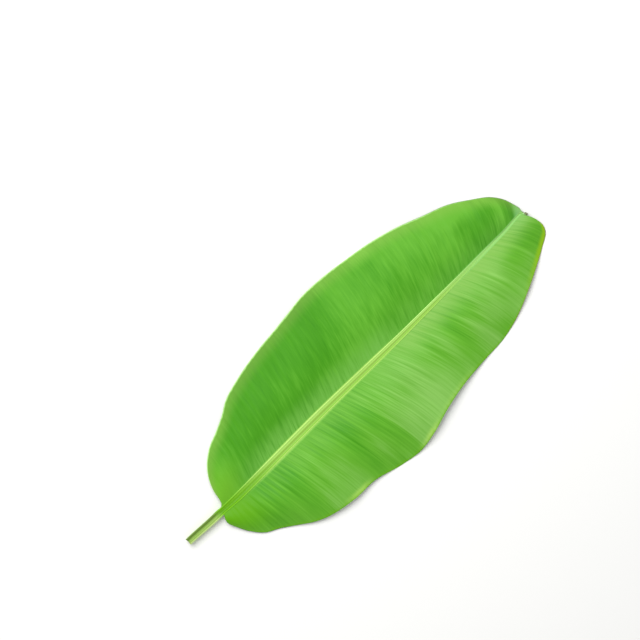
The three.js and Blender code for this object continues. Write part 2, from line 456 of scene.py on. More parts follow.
class Shape(Graph):
    """A geometry tree whose sizes are named inputs."""

    def __init__(self, name: str) -> None:
        """Start a tree with a geometry input and output.

        Args:
            name: The tree's name.
        """
        super().__init__(bpy.data.node_groups.new(name, "GeometryNodeTree"))
        self.tree.is_modifier = True
        for direction in ("INPUT", "OUTPUT"):
            self.tree.interface.new_socket(
                "Geometry", in_out=direction, socket_type="NodeSocketGeometry")
        self.entry = self.node("NodeGroupInput")
        self.exit = self.node("NodeGroupOutput")
        self.values: dict[str, object] = {}

    @property
    def incoming(self) -> bpy.types.NodeSocket:
        """The geometry that the modifier starts from."""
        return self.entry.outputs["Geometry"]

    def size(self, name: str, value: object) -> Field:
        """Add a named input and remember its value for the modifier.

        Args:
            name: The input's name.
            value: A float, a whole number or a material.

        Returns:
            The input as a field.
        """
        kinds = {float: "Float", int: "Int", bpy.types.Material: "Material"}
        socket = self.tree.interface.new_socket(
            name, in_out="INPUT", socket_type=f"NodeSocket{kinds[type(value)]}")
        self.values[socket.identifier] = value
        return Field(self, self.entry.outputs[name])

    def stored(self, name: str) -> Field:
        """Read one of the mesh's own numbers.

        Args:
            name: The name that it is kept under.

        Returns:
            The number at each point.
        """
        made = self.node("GeometryNodeInputNamedAttribute", data_type="FLOAT")
        made.inputs["Name"].default_value = name
        return Field(self, made.outputs["Attribute"])

    def step(self, kind: str, geometry: object, **inputs: object) -> bpy.types.NodeSocket:
        """Pass geometry through a node.

        Args:
            kind: The node's type.
            geometry: What goes in at its first input.
            **inputs: Other inputs by name, with underscores for spaces.

        Returns:
            Its first output.
        """
        made = self.node(kind)
        self.feed(made.inputs[0], geometry)
        for name, value in inputs.items():
            self.feed(made.inputs[name.replace("_", " ")], value)
        return made.outputs[0]

    def paint(self, geometry: object, material: Field,
              selection: object = True) -> bpy.types.NodeSocket:
        """Give geometry, or the selected part of it, a material."""
        return self.step("GeometryNodeSetMaterial", geometry,
                         Selection=selection, Material=material)

    def finish(self, geometry: object) -> None:
        """End the tree: copies are made real, and faces are shaded smoothly."""
        real = self.step("GeometryNodeRealizeInstances", geometry)
        self.feed(self.exit.inputs[0], self.step("GeometryNodeSetShadeSmooth", real))

    def apply_to(self, owner: bpy.types.Object) -> None:
        """Put the tree on an object as a modifier, with its values set.

        Args:
            owner: The object.
        """
        modifier = owner.modifiers.new(self.tree.name, "NODES")
        modifier.node_group = self.tree
        for identifier, value in self.values.items():
            modifier[identifier] = value


def baked(owner: bpy.types.Object, name: str) -> bpy.types.Object:
    """Turn an object with modifiers into a plain mesh object, and remove the first one.

    Args:
        owner: The object with its modifiers.
        name: The new object's name.

    Returns:
        The plain object.
    """
    graph = bpy.context.evaluated_depsgraph_get()
    mesh = bpy.data.meshes.new_from_object(owner.evaluated_get(graph), depsgraph=graph)
    mesh.name = name
    bpy.data.objects.remove(owner)
    return shown(mesh, name)


def shown(mesh: bpy.types.Mesh, name: str) -> bpy.types.Object:
    """Put a mesh in the scene.

    Args:
        mesh: The mesh.
        name: The name of the object that shows it.

    Returns:
        The object.
    """
    made = bpy.data.objects.new(name, mesh)
    bpy.context.scene.collection.objects.link(made)
    return made


def keep(piece: bpy.types.Object, replaces: bool = False) -> None:
    """Tell the frame about a finished piece and report it.

    Args:
        piece: The piece.
        replaces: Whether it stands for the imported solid.
    """
    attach(piece, BODY)
    if replaces:
        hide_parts(NODE)
    triangles = sum(len(face.vertices) - 2 for face in piece.data.polygons)
    log.info("%s: %d triangles", piece.name, triangles)


class Read(Enum):
    """What a finish reads at a point. A share is of the blade's length unless it says otherwise."""

    LENGTH = "along the leaf: the vein's root as a share, or on the midrib in metres"
    ALONG = "out from the midrib along the vein, in metres"
    SHARE = "the same as a share of the vein"
    SPOT = "the point's own place along the blade, as a share"
    MARGIN = "the way left to the margin along the vein, in metres"
    TURN = "round the midrib from under the keel, as a share of the way round"
    FROM_TOP = "the turn away from the channel's middle"
    PATTERN = "the finish's own pattern"
    WAVY_LENGTH = "LENGTH, shifted by the pattern"
    WAVY_ALONG = "ALONG, shifted by the pattern"
    WAVY_SPOT = "SPOT, shifted by the pattern"
    WAVY_X = "x in the frame, in metres, shifted by the pattern"
    FRAYED_MARGIN = "MARGIN with streaks as long as the rim is wide"
    TIP_MARGIN = "MARGIN with streaks for the tip"
    FRAYED_TURN = "TURN with fibres"
    FRAYED_LENGTH = "LENGTH with a soft shift for the stalk's end"
    LEANING_LENGTH = "LENGTH, moved on beside the channel"


@dataclass(frozen=True)
class Zone:
    """A smooth ramp over one reading, from start to end. It falls where low is above high."""

    read: Read
    low: float
    high: float
    start: float = 0.0
    end: float = 1.0


class Layer:
    """A tint laid over a finish where all of its zones show.

    The tint is a colour, or an output socket that gives one. The strength is how much of it shows
    where its zones are at 1.
    """

    def __init__(self, tint: object, strength: float, *zones: Zone) -> None:
        """Describe the layer."""
        self.tint, self.strength, self.zones = tint, strength, zones


@dataclass(frozen=True)
class Grain:
    """A random pattern, with its steps a metre or a turn in two directions.

    On the blade these run across and along the veins, on the midrib along it and round it.
    """

    first: float
    second: float
    seed: float
    detail: float = 2.0
    broken: bool = False


class Finish:
    """A material under construction, and what it reads at each point."""

    def __init__(self, name: str) -> None:
        """Start an empty material with a Principled shader.

        Args:
            name: The material's name.
        """
        self.material = bpy.data.materials.new(name)
        self.material.use_nodes = True
        self.graph = Graph(self.material.node_tree)
        self.shader = self.graph.node("ShaderNodeBsdfPrincipled")
        exit_node = self.graph.node("ShaderNodeOutputMaterial")
        self.graph.feed(exit_node.inputs["Surface"], self.shader.outputs[0])
        self.readings: dict[Read, Field] = {}

    def mapped(self, name: str) -> tuple[Field, Field]:
        """Read the two numbers of one of the piece's own maps."""
        made = self.graph.node("ShaderNodeUVMap", uv_map=name)
        return self.graph.split(made.outputs[0])[:2]

    def place(self) -> tuple[Field, Field, Field]:
        """Read the point's place in the frame, in metres."""
        made = self.graph.node("ShaderNodeTexCoord")
        return self.graph.split(made.outputs["Object"])

    def blend(self, base: object, over: object, share: Number) -> bpy.types.NodeSocket:
        """Lay one colour over another.

        Args:
            base: The colour below.
            over: The colour above.
            share: How much of it shows, 0 to 1.

        Returns:
            The mixed colour.
        """
        made = self.graph.node("ShaderNodeMix", data_type="RGBA")
        self.graph.feed(made.inputs["Factor"], share)
        self.graph.feed(made.inputs[MIX_BASE], base)
        self.graph.feed(made.inputs[MIX_OVER], over)
        return made.outputs[MIX_RESULT]

    def pattern(self, grain: Grain, first: Field, second: Field, seed: float = 0.0,
                breaks: float = 1.0) -> Field:
        """Lay a grain over two readings. Breaks shortens a broken one in its second direction."""
        pace = grain.second * (breaks if grain.broken else 1.0)
        return self.graph.noise(first * grain.first, second * pace, seed + grain.seed, grain.detail)

    def extent(self, zones: Sequence[Zone]) -> Field:
        """Multiply zones into one share.

        Args:
            zones: The zones, over the finish's readings.

        Returns:
            The share, 1 where all of them show in full.
        """
        ramps = [self.graph.ramp(self.readings[zone.read], zone.low, zone.high, zone.start,
                                 zone.end) for zone in zones]
        return math.prod(ramps[1:], start=ramps[0])

    def lay(self, colour: object, *layers: Layer) -> bpy.types.NodeSocket:
        """Lay tints over a colour.

        Args:
            colour: The colour below.
            *layers: The tints, in order.

        Returns:
            The mixed colour.
        """
        for layer in layers:
            colour = self.blend(colour, layer.tint, self.extent(layer.zones) * layer.strength)
        return colour

    def scaled(self, colour: object, factor: Number) -> bpy.types.NodeSocket:
        """Make a colour brighter or dimmer.

        Args:
            colour: The colour.
            factor: What each of its channels is multiplied by.

        Returns:
            The new colour.
        """
        made = self.graph.node("ShaderNodeVectorMath", operation="SCALE")
        self.graph.feed(made.inputs[0], colour)
        self.graph.feed(made.inputs["Scale"], factor)
        return made.outputs[0]

    def shades(self, value: Number, *colours: Colour) -> bpy.types.NodeSocket:
        """Run evenly through some colours as a value goes from 0 to 1.

        Args:
            value: What is read.
            *colours: The colours in order.

        Returns:
            The colour.
        """
        made = self.graph.node("ShaderNodeValToRGB")
        elements = made.color_ramp.elements
        while len(elements) < len(colours):
            elements.new(MIDDLE)
        for i, colour in enumerate(colours):
            elements[i].position = i / (len(colours) - 1)
            elements[i].color = colour
        self.graph.feed(made.inputs[0], value)
        return made.outputs[0]

    def dress(self, colour: object, roughness: Number, height: Field | None = None,
              depth: float = 0.0, **constants: object) -> bpy.types.Material:
        """Connect the shader.

        Args:
            colour: The base colour.
            roughness: The roughness.
            height: Relief, from 0 to 1, or None.
            depth: How deep that relief is, in metres.
            **constants: Other shader inputs by name, with underscores for spaces.

        Returns:
            The finished material.
        """
        self.graph.feed(self.shader.inputs["Base Color"], colour)
        self.graph.feed(self.shader.inputs["Roughness"], roughness)
        for name, value in constants.items():
            self.shader.inputs[name.replace("_", " ")].default_value = value
        if height is not None:
            bump = self.graph.node("ShaderNodeBump")
            bump.inputs["Distance"].default_value = depth
            self.graph.feed(bump.inputs["Height"], height)
            self.graph.feed(self.shader.inputs["Normal"], bump.outputs[0])
        return self.material


@dataclass(frozen=True)
class Band:
    """A broad darker or paler band, across the blade or running out along the veins.

    Its place, and how far it reaches before and after that, are shares of the blade's length.
    Where it starts and ends, and how softly, are shares of a vein. A strength below 0 is darker.
    The bands are painted sheen and shade of the blade's slow waves, with some uneven tone of its
    own.
    """

    place: float
    before: float
    after: float
    strength: float
    starts_at: float = 0.0
    ends_at: float = 1.0
    on_veins: bool = False
    softness: float = 0.2

    def zones(self, wavy: bool = True) -> tuple[Zone, ...]:
        """Write the band as zones.

        Args:
            wavy: Whether its sides waver.

        Returns:
            Its two sides, and where it starts and ends on the veins.
        """
        read = Read.SPOT
        if wavy:
            read = Read.WAVY_LENGTH if self.on_veins else Read.WAVY_SPOT
        zones = [Zone(read, self.place - self.before, self.place),
                 Zone(read, self.place + self.after, self.place)]
        if self.starts_at > 0:
            zones.append(Zone(Read.SHARE, self.starts_at - self.softness,
                              self.starts_at + self.softness))
        if self.ends_at < 1:
            zones.append(Zone(Read.SHARE, self.ends_at + self.softness,
                              self.ends_at - self.softness))
        return tuple(zones)


@dataclass(frozen=True)
class UpperFinish:
    """The waxy upper face of one half of the blade. Widths and reaches are in metres."""

    name: str
    deep: Colour
    middle: Colour
    light: Colour
    bands: tuple[Band, ...]
    seed: float
    specular: float
    base_tint: Colour
    midrib_strength: float
    midrib_beyond: float
    highlight_strip_width: float
    margin_tint: Colour
    margin_reach: float
    margin_bands: tuple[Band, ...]
    fine_strength: float
    broad_strength: float
    rim_tint: Colour
    rim_width: float
    rim_strength: float
    tip_margin_strength: float
    mean_tone: float = 0.5
    outward: float = 0.0
    outward_middle: float = 0.4
    dimming: float = 0.0
    dimming_fine: float = 1.0
    dimming_streak: float = 0.9
    midrib_tint: Colour = linear(112, 180, 72)
    # A painted highlight: the pale strip and glow where the blade meets the midrib's edge.
    highlight_strip_tint: Colour = linear(188, 226, 116)
    highlight_strip_edge: tuple[float, float] = (0.0008, 0.0006)
    highlight_glow_strength: float = 0.0
    tip_tint: Colour = linear(118, 184, 110)
    tip_strength: float = 0.85
    tip_range: tuple[float, float] = (0.92, 1.0)
    tip_reach: float = 0.03
    tip_edge_tint: Colour = linear(112, 132, 66)
    rib_end_tint: Colour = linear(138, 202, 110)
    tip_margin_tint: Colour = linear(142, 188, 14)
    tip_margin_fray: float = 0.004
    grains: tuple[Grain, ...] = (
        Grain(900.0, 14.0, 0.0, 1.0, broken=True), Grain(420.0, 9.0, 3.0, broken=True),
        Grain(150.0, 8.0, 7.0, broken=True), Grain(42.0, 5.0, 11.0), Grain(12.0, 12.0, 17.0))
    hair_strength: float = 0.25
    streak_strength: float = 0.65
    streak_fading: tuple[float, float] = (1.35, 0.7)
    cloud_strength: float = 0.35
    breaks: float = 1.0
    waver: float = 0.03
    roughness: float = 0.46
    roughness_streak: float = 0.12
    roughness_hair: float = 0.1
    relief_hair: float = 0.35
    relief_depth: float = 0.0003

    def layers(self) -> tuple[Layer, ...]:
        """List the tints laid over the streaks.

        Returns:
            The blade's base, the face beside the midrib, its pale strip and glow (a painted
            highlight along the midrib's edge), the tip, the midrib's end, the zone inside the
            margin, the rim, and the margin by the tip.
        """
        inside = Zone(Read.FRAYED_MARGIN, self.margin_reach, 0.0)
        wide, narrow = self.highlight_strip_edge
        return (
            Layer(self.base_tint, 0.95, Zone(Read.LENGTH, 0.1, 0.03), Zone(Read.ALONG, 0.09, 0.01)),
            Layer(self.midrib_tint, self.midrib_strength,
                  Zone(Read.WAVY_ALONG, 0.05, 0.002), Zone(Read.LENGTH, 0.02, 0.2),
                  Zone(Read.SPOT, 0.62, 0.52, self.midrib_beyond),
                  Zone(Read.PATTERN, 0.32, 0.62, 0.45, 1.45)),
            # Painted highlight: a pale strip and glow along the midrib's edge.
            Layer(self.highlight_strip_tint, 0.9,
                  Zone(Read.ALONG, self.highlight_strip_width + wide, self.highlight_strip_width - narrow),
                  Zone(Read.LENGTH, 0.06, 0.22), Zone(Read.LENGTH, 0.6, 0.5)),
            Layer(self.highlight_strip_tint, self.highlight_glow_strength, Zone(Read.ALONG, 0.0048, 0.0),
                  Zone(Read.LENGTH, 0.04, 0.15), Zone(Read.LENGTH, 0.48, 0.2)),
            Layer(self.tip_tint, self.tip_strength,
                  Zone(Read.LENGTH, *self.tip_range), Zone(Read.ALONG, self.tip_reach, 0.0)),
            Layer(self.rib_end_tint, 0.9,
                  Zone(Read.ALONG, 0.0024, 0.0006), Zone(Read.LENGTH, 0.72, 0.86)),
            # On the left half this zone inside the margin is painted light, where the outer slope
            # faces the lamp.
            *(Layer(self.margin_tint, band.strength, inside, *band.zones(wavy=False))
              for band in self.margin_bands),
            # On the left half the rim is a painted highlight on the edge that curls up to the lamp.
            Layer(self.rim_tint, self.rim_strength,
                  Zone(Read.FRAYED_MARGIN, self.rim_width, 0.0),
                  Zone(Read.LENGTH, 0.9, 0.75, 0.15)),
            Layer(self.tip_margin_tint, self.tip_margin_strength,
                  Zone(Read.TIP_MARGIN, 0.014, 0.004), Zone(Read.LENGTH, 0.8, 0.95)),
            Layer(self.tip_edge_tint, 0.7,
                  Zone(Read.MARGIN, 0.0026, 0.0008), Zone(Read.LENGTH, 0.9, 0.96)),
        )

    def make(self) -> bpy.types.Material:
        """Make the material.

        Returns:
            A material that follows the maps VeinMap, LeafMap and SpotMap.
        """
        finish = Finish(self.name)
        graph = finish.graph
        across, along = finish.mapped("VeinMap")
        length, share = finish.mapped("LeafMap")
        spot, _ = finish.mapped("SpotMap")
        hair, fine, streak, broad, cloud = (
            finish.pattern(grain, across, along, self.seed, self.breaks) for grain in self.grains)
        wavering = (fine - MIDDLE) * self.waver
        margin = (1.0 - share) / share * along
        finish.readings = {
            Read.LENGTH: length, Read.ALONG: along, Read.SHARE: share, Read.SPOT: spot,
            Read.WAVY_LENGTH: length + wavering, Read.WAVY_ALONG: along + wavering,
            Read.WAVY_SPOT: spot + wavering, Read.PATTERN: (fine + streak) * 0.5,
            Read.MARGIN: margin,
            Read.FRAYED_MARGIN: margin + (streak - MIDDLE) * self.rim_width,
            Read.TIP_MARGIN: margin + (streak - MIDDLE) * self.tip_margin_fray}
        fading = graph.ramp(share, 0.0, 1.0, *self.streak_fading)
        streaks = ((hair - MIDDLE) * self.hair_strength + (fine - MIDDLE) * self.fine_strength
                   + (streak - MIDDLE) * self.streak_strength)
        tone = (self.mean_tone + streaks * fading + (broad - MIDDLE) * self.broad_strength
                + (cloud - MIDDLE) * self.cloud_strength
                + (share - self.outward_middle) * self.outward)
        # Painted sheen and shade of the blade's slow waves, with some uneven tone of its own.
        for band in self.bands:
            tone = tone + finish.extent(band.zones()) * band.strength
        colour = finish.shades(tone, self.deep, self.middle, self.light)
        unevenness = (fine - MIDDLE) * self.dimming_fine + (streak - MIDDLE) * self.dimming_streak
        colour = finish.scaled(colour, 1.0 + unevenness * fading * self.dimming)
        colour = finish.lay(colour, *self.layers())
        roughness = (self.roughness + (streak - MIDDLE) * self.roughness_streak
                     + (hair - MIDDLE) * self.roughness_hair)
        height = hair * self.relief_hair + fine * (1.0 - self.relief_hair)
        return finish.dress(colour, roughness, height, self.relief_depth,
                            Specular_IOR_Level=self.specular)


@dataclass(frozen=True)
class UnderFinish:
    """The paler, duller underside of the blade."""

    name: str = "blade_underside"
    deep: Colour = linear(118, 164, 84)
    middle: Colour = linear(142, 184, 106)
    light: Colour = linear(166, 202, 130)
    fibres: Grain = Grain(520.0, 9.0, 40.0)
    fibre_strength: float = 0.9
    bloom: Grain = Grain(60.0, 24.0, 43.0, 3.0)
    bloom_strength: float = 0.7
    roughness: float = 0.62
    unevenness: float = 0.15
    relief_depth: float = 0.0005
    specular: float = 0.35

    def make(self) -> bpy.types.Material:
        """Make the material.

        Returns:
            A material that follows the map VeinMap.
        """
        finish = Finish(self.name)
        across, along = finish.mapped("VeinMap")
        fibres, bloom = (finish.pattern(grain, across, along)
                         for grain in (self.fibres, self.bloom))
        tone = (MIDDLE + (fibres - MIDDLE) * self.fibre_strength
                + (bloom - MIDDLE) * self.bloom_strength)
        colour = finish.shades(tone, self.deep, self.middle, self.light)
        roughness = self.roughness + (bloom - MIDDLE) * self.unevenness
        return finish.dress(colour, roughness, fibres, self.relief_depth,
                            Specular_IOR_Level=self.specular)


@dataclass(frozen=True)
class RibFinish:
    """The midrib and stalk: pale edges, an olive channel and a smooth pale keel.

    The turn round the bar is 0.5 in the middle of the channel, more on the left and less on the
    right. Its pale edges are painted highlights. Its channel's left wall and the blade's base
    beside it are lightened as painted light over the shade there.
    """

    name: str = "midrib_and_stalk"
    channel: Colour = linear(136, 179, 66)
    wall: Colour = linear(139, 192, 68)
    # Painted light: a pale wall colour laid over the shade that the lamp leaves on the channel's
    # left wall.
    painted_light_wall: Colour = linear(194, 242, 122)
    # This colour and the next two are painted highlights along the bar's top edges, where they
    # catch the lamp.
    edge: Colour = linear(172, 216, 102)
    painted_highlight_edge: Colour = linear(194, 239, 124)
    far_painted_highlight: Colour = linear(204, 255, 146)
    keel: Colour = linear(150, 190, 96)
    blade_base: Colour = linear(98, 165, 2)
    # Painted light: the base colour lightened on the channel's left wall and the bar's right side,
    # over the shade there.
    painted_light_base_side: Colour = linear(124, 196, 30)
    painted_light_right_side: float = 0.8
    base_lean: tuple[float, float] = (0.25, -0.1)
    tip: Colour = linear(152, 210, 118)
    stalk: Colour = linear(154, 188, 92)
    stalk_light: Colour = linear(196, 216, 142)
    stalk_shade: Colour = linear(96, 122, 52)
    fibres: Grain = Grain(9.0, 95.0, 60.0)
    cloud: Grain = Grain(60.0, 9.0, 64.0)
    sheen: Grain = Grain(22.0, 3.0, 66.0)
    edge_fray: float = 0.03
    stalk_fray: float = 0.02
    roughness: float = 0.38
    unevenness: float = 0.2
    relief_depth: float = 0.0004
    specular: float = 0.22

    def layers(self, base: bpy.types.NodeSocket) -> tuple[Layer, ...]:
        """List the tints laid over the channel's right wall.

        Args:
            base: The colour by the blade's base.

        Returns:
            The channel, the left wall lightened as painted light, its edge as a painted highlight,
            the right edge's painted highlight, the keel, the blade's base, the stalk with its
            painted light and shaded sides, the fibres and the tip.
        """
        on_stalk = Zone(Read.FRAYED_LENGTH, -0.005, -0.027)
        return (
            Layer(self.channel, 1.0, Zone(Read.TURN, 0.465, 0.495)),
            Layer(self.painted_light_wall, 1.0, Zone(Read.TURN, 0.513, 0.555)),
            # Painted highlights along the left and right top edges.
            Layer(self.painted_highlight_edge, 1.0, Zone(Read.FRAYED_TURN, 0.55, 0.58)),
            Layer(self.far_painted_highlight, 0.75, Zone(Read.FRAYED_TURN, 0.53, 0.56),
                  Zone(Read.LENGTH, 0.4, 0.58)),
            Layer(self.edge, 1.0, Zone(Read.FRAYED_TURN, 0.43, 0.405)),
            Layer(self.keel, 1.0, Zone(Read.FROM_TOP, 0.22, 0.27)),
            Layer(base, 1.0, Zone(Read.LEANING_LENGTH, 0.17, 0.03), Zone(Read.FROM_TOP, 0.3, 0.2)),
            Layer(self.stalk, 1.0, on_stalk),
            Layer(self.stalk_light, 0.85, on_stalk, Zone(Read.TURN, 0.43, 0.34),
                  Zone(Read.TURN, 0.16, 0.22)),
            Layer(self.stalk_shade, 0.6, on_stalk, Zone(Read.TURN, 0.52, 0.57),
                  Zone(Read.TURN, 0.72, 0.66)),
            Layer(self.stalk_shade, 0.28, on_stalk, Zone(Read.PATTERN, 0.52, 0.72)),
            Layer(self.channel, 0.3, Zone(Read.PATTERN, 0.5, 0.75)),
            Layer(self.tip, 0.9, Zone(Read.LENGTH, 0.52, 0.76)),
        )

    def make(self) -> bpy.types.Material:
        """Make the material.

        Returns:
            A material that follows the map RibMap.
        """
        finish = Finish(self.name)
        graph = finish.graph
        length, turn = finish.mapped("RibMap")
        fibres, cloud, sheen = (finish.pattern(grain, length, turn)
                                for grain in (self.fibres, self.cloud, self.sheen))
        leaning = graph.math("MAXIMUM", *((turn - MIDDLE) * lean for lean in self.base_lean))
        finish.readings = {
            Read.LENGTH: length, Read.TURN: turn, Read.PATTERN: fibres,
            Read.FROM_TOP: graph.math("ABSOLUTE", turn - MIDDLE),
            Read.FRAYED_TURN: turn + (fibres - MIDDLE) * self.edge_fray,
            Read.FRAYED_LENGTH: length + (sheen - MIDDLE) * self.stalk_fray,
            Read.LEANING_LENGTH: length + leaning}
        # Painted light: the blade's base colour is lightened on the left wall and the right side,
        # where the bar is in shade.
        sides = (finish.extent([Zone(Read.TURN, 0.515, 0.545)])
                 + finish.extent([Zone(Read.TURN, 0.43, 0.405)]) * self.painted_light_right_side)
        base = finish.blend(self.blade_base, self.painted_light_base_side, sides)
        colour = finish.lay(self.wall, *self.layers(base))
        roughness = self.roughness + (cloud - MIDDLE) * self.unevenness
        return finish.dress(colour, roughness, fibres, self.relief_depth,
                            Specular_IOR_Level=self.specular)


@dataclass(frozen=True)
class PatchFinish:
    """A finish in patches of two colours, with other tints over it by place.

    The patches are a pattern over two directions. Each direction gives its steps a metre along x,
    y and z.
    """

    name: str
    base: Colour
    patches: Colour
    directions: tuple[tuple[float, float, float], tuple[float, float, float]]
    seed: float
    patch_range: tuple[float, float]
    roughness: float
    unevenness: float
    detail: float = 2.0
    waver: float = 0.0
    tints: tuple[Layer, ...] = ()
    relief_depth: float | None = None

    def make(self) -> bpy.types.Material:
        """Make the material.

        Returns:
            A material that follows the place in the frame.
        """
        finish = Finish(self.name)
        place = finish.place()
        first, second = (sum(axis * pace for axis, pace in zip(place, paces) if pace)
                         for paces in self.directions)
        patch = finish.graph.noise(first, second, self.seed, self.detail)
        finish.readings = {Read.PATTERN: patch,
                           Read.WAVY_X: place[0] + (patch - MIDDLE) * self.waver}
        over = Layer(self.patches, 1.0, Zone(Read.PATTERN, *self.patch_range))
        colour = finish.lay(self.base, over, *self.tints)
        roughness = self.roughness + (patch - MIDDLE) * self.unevenness
        if self.relief_depth is None:
            return finish.dress(colour, roughness)
        return finish.dress(colour, roughness, patch, self.relief_depth)


def rim_finish(half: Half, edge_light_and_shade: Colour, dull: Colour, base: Colour, tip: Colour) -> PatchFinish:
    """Describe the thin edge of one half of the blade.

    Args:
        half: Which half.
        edge_light_and_shade: The edge's colour, painted light: a highlight on the left half, shade
            on the right.
        dull: Its colour in patches.
        base: Its colour by the blade's base, painted light as well: a highlight on the left half,
            shade on the right.
        tip: Its colour by the tip.

    Returns:
        The finish.
    """
    return PatchFinish(
        f"rim_{half.name.lower()}", edge_light_and_shade, dull, ((26.0, 0.0, 0.0), (0.0, 26.0, 0.0)), seed=80.0,
        patch_range=(0.4, 0.65), roughness=0.45, unevenness=0.1, waver=0.05,
        tints=(Layer(base, 1.0, Zone(Read.WAVY_X, -0.24, -0.32)),
               Layer(tip, 1.0, Zone(Read.WAVY_X, 0.22, 0.3))))


def cut_finish(name: str, fresh: Colour, stained: Colour) -> PatchFinish:
    """Describe the moist cut end of the stalk, or the walls of its air channels.

    Args:
        name: The finish's name.
        fresh: The colour of the cut.
        stained: The colour of its small stains.

    Returns:
        The finish.
    """
    return PatchFinish(
        name, fresh, stained, ((0.0, 700.0, 0.0), (0.0, 0.0, 700.0)), seed=100.0, detail=3.0,
        patch_range=(0.45, 0.7), roughness=0.5, unevenness=0.3, relief_depth=0.0004)


# The two halves share one green: the right half's paler palette is painted light, for its sheen and
# the slope turned to the lamp.
LEFT_FACE = UpperFinish(
    name="blade_left", deep=linear(54, 130, 18), middle=linear(72, 149, 29),
    light=linear(98, 172, 49), seed=1.0, specular=0.06, base_tint=linear(108, 176, 42),
    midrib_strength=0.85, midrib_beyond=0.3, highlight_strip_width=0.0014,
    # margin_tint and rim_tint here are painted light: a paler zone where the drooping outer slope
    # faces the lamp, and a painted highlight on the curled edge.
    margin_tint=linear(182, 195, 110), margin_reach=0.033,
    margin_bands=(Band(0.5, 5.0, 5.0, 0.17),), rim_tint=linear(182, 230, 142), rim_width=0.0032,
    rim_strength=0.9, tip_margin_strength=0.0, outward=-0.1, tip_range=(0.968, 0.986),
    tip_reach=0.045, fine_strength=0.52, broad_strength=0.22, cloud_strength=0.13, breaks=2.4,
    bands=(
        Band(0.04, 0.2, 0.1, 0.3), Band(0.28, 0.2, 0.19, -0.1), Band(0.52, 0.1, 0.1, 0.3),
        Band(0.48, 0.2, 0.06, 0.3, ends_at=0.25, softness=0.1),
        Band(0.475, 0.08, 0.08, -0.22, starts_at=0.5), Band(0.61, 0.1, 0.07, 0.24),
        Band(0.71, 0.06, 0.06, 0.2), Band(0.81, 0.11, 0.1, 0.4, starts_at=0.2),
        Band(0.88, 0.04, 0.05, -0.35, ends_at=0.25), Band(0.87, 0.08, 0.1, 0.85, starts_at=0.7),
        Band(0.13, 0.1, 0.12, 0.3, starts_at=0.88, softness=0.12), Band(0.665, 0.03, 0.03, 0.16),
        Band(0.31, 0.13, 0.12, 0.13, starts_at=0.28, ends_at=0.62, softness=0.12),
        Band(0.74, 0.1, 0.08, 0.24, starts_at=0.6), Band(0.955, 0.035, 0.03, 0.45, starts_at=0.8),
        Band(0.655, 0.055, 0.045, 0.42, starts_at=0.88, softness=0.1),
        Band(0.94, 0.03, 0.014, 0.5, starts_at=0.15, ends_at=0.85, on_veins=True),
        Band(0.9695, 0.009, 0.007, -1.15, ends_at=0.8, on_veins=True)),
)
RIGHT_FACE = UpperFinish(
    name="blade_right", deep=linear(64, 148, 12), middle=linear(97, 170, 42),
    light=linear(130, 188, 86), seed=21.0, specular=0.15, base_tint=linear(93, 164, 4),
    midrib_tint=linear(128, 182, 78), midrib_strength=0.12, midrib_beyond=6.5,
    highlight_strip_tint=linear(172, 227, 106), highlight_strip_width=0.001, highlight_glow_strength=0.38,
    margin_tint=linear(200, 238, 114), margin_reach=0.014,
    margin_bands=(Band(0.262, 0.06, 0.05, 0.62), Band(0.475, 0.055, 0.05, 0.6),
                  Band(0.6, 0.14, 0.08, 0.2)),
    rim_tint=linear(104, 170, 10), rim_width=0.007, rim_strength=0.6, tip_margin_strength=0.9,
    mean_tone=0.54, outward=0.36, dimming=0.22, tip_strength=0.3, hair_strength=0.17,
    fine_strength=0.46, streak_strength=0.6, broad_strength=0.35,
    bands=(
        Band(0.1, 0.25, 0.12, -0.26), Band(0.168, 0.04, 0.034, -0.28, starts_at=0.08),
        Band(0.33, 0.065, 0.04, -0.35, starts_at=0.12),
        Band(0.385, 0.06, 0.012, -0.25, starts_at=0.12, on_veins=True),
        Band(0.48, 0.06, 0.2, 0.18), Band(0.54, 0.05, 0.08, 0.14),
        Band(0.65, 0.04, 0.04, 0.2, starts_at=0.2, ends_at=0.6),
        Band(0.765, 0.02, 0.025, 0.18, ends_at=0.6), Band(0.69, 0.05, 0.045, -0.21, starts_at=0.12),
        Band(0.79, 0.045, 0.06, 0.18), Band(0.85, 0.07, 0.07, 0.32, ends_at=0.5),
        Band(0.97, 0.12, 0.15, -0.28, starts_at=0.2),
        Band(0.375, 0.04, 0.04, -0.3, starts_at=0.85),
        Band(0.785, 0.04, 0.04, -0.42, starts_at=0.8)),
)
# Painted light on the rims: the left edge is a pale painted highlight, and the right edge with its
# dark stretch by the blade's base is painted shade, where it turns from the lamp.
LEFT_RIM = rim_finish(Half.LEFT, linear(206, 246, 160), linear(158, 214, 104),
                      linear(206, 246, 160), linear(74, 124, 54))
RIGHT_RIM = rim_finish(Half.RIGHT, linear(96, 158, 52), linear(132, 188, 60),
                       linear(44, 100, 34), linear(150, 132, 44))
UNDER_VEINS = PatchFinish(
    "under_veins", linear(172, 204, 132), linear(140, 180, 100),
    ((60.0, 0.0, 0.0), (0.0, 18.0, 0.0)), seed=90.0, patch_range=(0.35, 0.65), roughness=0.55,
    unevenness=0.1)
CUT_FLESH = cut_finish("cut_flesh", linear(150, 160, 92), linear(104, 104, 58))
CHANNEL_WALLS = cut_finish("air_channel_walls", linear(206, 212, 156), linear(166, 160, 100))
WITHERED = PatchFinish(
    "withered_tip", linear(80, 88, 52), linear(134, 146, 100),
    ((300.0, 0.0, 0.0), (0.0, 1600.0, 1600.0)), seed=110.0, detail=3.0, patch_range=(0.35, 0.65),
    roughness=0.8, unevenness=0.2, relief_depth=0.0006,
    tints=(Layer(linear(168, 220, 142), 1.0, Zone(Read.WAVY_X, 0.4412, 0.439)),))


